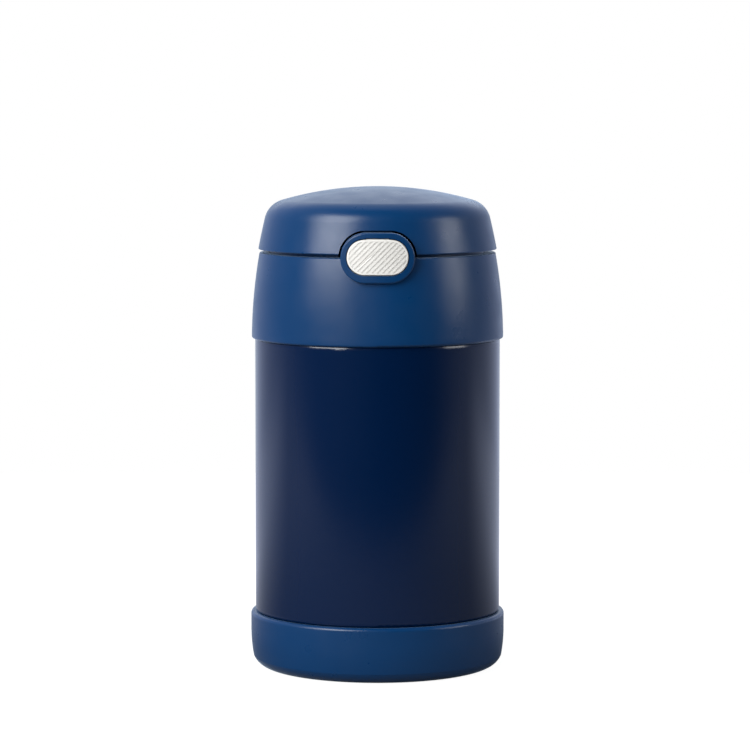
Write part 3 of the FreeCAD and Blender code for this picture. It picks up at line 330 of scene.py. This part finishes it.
def floor_material():
    """Nearly white to the camera, with a faint shadow. Gloss alone sees it lit at the sides and the back."""
    look = bpy.data.materials.new("pale floor")
    tree = ShaderTree(look)
    seen, in_gloss = tree.rays()
    matte = tree.new("ShaderNodeBsdfDiffuse", {"Color": (FLOOR_ALBEDO, FLOOR_ALBEDO, FLOOR_ALBEDO, 1)})
    glow = tree.new("ShaderNodeEmission", {"Strength": tree.math("MULTIPLY", seen, FLOOR_GLOW)})
    place = tree.apart(tree.new("ShaderNodeNewGeometry").outputs["Position"])
    side_from, side_to, side_level = SIDE_SHINE
    back_from, back_to, back_level = BACK_SHINE
    side = tree.ramp(tree.math("ABSOLUTE", place["X"]), side_from, side_to, 0.0, side_level)
    back = tree.ramp(place["Y"], back_from, back_to, 0.0, back_level)
    level = tree.math("MULTIPLY", tree.math("ADD", side, back), in_gloss)
    shine = tree.new("ShaderNodeEmission", {"Color": (*TENT_TINT, 1), "Strength": level})
    lit = tree.new("ShaderNodeAddShader", {0: glow.outputs[0], 1: shine.outputs[0]})
    both = tree.new("ShaderNodeAddShader", {0: matte.outputs[0], 1: lit.outputs[0]})
    tree.new("ShaderNodeOutputMaterial", {"Surface": both.outputs[0]})
    return look


def make_floor():
    """An oval pale floor, just under the jar's foot."""
    turns = [2 * math.pi * corner / FLOOR_CORNERS for corner in range(FLOOR_CORNERS)]
    ring = [(FLOOR_WIDE * math.cos(turn), FLOOR_DEEP * math.sin(turn), 0) for turn in turns]
    mesh = bpy.data.meshes.new("floor")
    mesh.from_pydata(ring, [], [tuple(range(FLOOR_CORNERS))])
    mesh.materials.append(floor_material())
    floor = put_in_scene("floor", mesh)
    floor.location = (0, FLOOR_BACK, cad_low[2] - FLOOR_BELOW)


def tent_colour(tree):
    """What gloss reflects, by its direction round the jar."""
    direction = tree.apart(tree.new("ShaderNodeTexCoord").outputs["Generated"])
    azimuth = tree.math("ARCTAN2", direction["X"], tree.math("MULTIPLY", direction["Y"], -1.0))
    tent = tree.new("ShaderNodeValToRGB", {"Fac": tree.ramp(azimuth, -math.pi, math.pi, 0.0, 1.0)})
    tent.color_ramp.interpolation = "B_SPLINE"
    stops = tent.color_ramp.elements
    while len(stops) > 1:
        stops.remove(stops[-1])
    for number, (degrees, level) in enumerate(TENT):
        place = (degrees + 180) / 360
        stop = stops[0] if number == 0 else stops.new(place)
        stop.position = place
        stop.color = tuple(level * channel for channel in TENT_TINT) + (1,)
    return tent.outputs["Color"]


def make_world():
    """White to the camera. Gloss reflects a light tent, which is white behind the jar and dark in front."""
    world = bpy.data.worlds.new("studio")
    bpy.context.scene.world = world
    tree = ShaderTree(world)
    seen, in_gloss = tree.rays()
    room = tree.new("ShaderNodeBackground", {"Color": WHITE, "Strength": ROOM_LEVEL})
    tent = tree.new("ShaderNodeBackground", {"Color": tent_colour(tree), "Strength": 1.0})
    white = tree.new("ShaderNodeBackground", {"Color": WHITE, "Strength": 1.0})
    unseen = tree.new("ShaderNodeMixShader", {"Fac": in_gloss, 1: room.outputs[0], 2: tent.outputs[0]})
    final = tree.new("ShaderNodeMixShader", {"Fac": seen, 1: unseen.outputs[0], 2: white.outputs[0]})
    tree.new("ShaderNodeOutputWorld", {"Surface": final.outputs[0]})


def softbox(name, azimuth, elevation, width, height, level, distance=BOX_DISTANCE, glossy=True):
    """A rectangular light that faces the jar, by degrees round from the camera and degrees up.

    Its level is what a white card at the jar would show, if it faced the light.
    """
    data = bpy.data.lights.new(name, "AREA")
    data.shape = "RECTANGLE"
    data.size = width
    data.size_y = height
    data.energy = level * math.pi**2 * distance**2
    turn = math.radians(azimuth)
    rise = math.radians(elevation)
    away = Vector((math.sin(turn) * math.cos(rise), -math.cos(turn) * math.cos(rise), math.sin(rise)))
    light = put_in_scene(name, data)
    light.location = AIM + away * distance
    light.rotation_euler = (-away).to_track_quat("-Z", "Y").to_euler()
    light.visible_glossy = glossy


def make_lights():
    """A strong light from the left, weak ones from the right and behind, and a fill that gloss doesn't show."""
    softbox("key box", azimuth=-48, elevation=33, width=0.95, height=1.05, level=1.25)
    softbox("right box", azimuth=78, elevation=20, width=0.6, height=0.75, level=0.27)
    softbox("back box", azimuth=180, elevation=32, width=1.6, height=0.8, level=0.07)
    softbox(
        "front fill",
        azimuth=-25,
        elevation=8,
        width=1.2,
        height=1.0,
        level=0.3,
        distance=FILL_DISTANCE,
        glossy=False,
    )


bpy.context.scene.view_settings.view_transform = "Standard"
make_camera()
make_floor()
make_world()
make_lights()
dress_nodes()
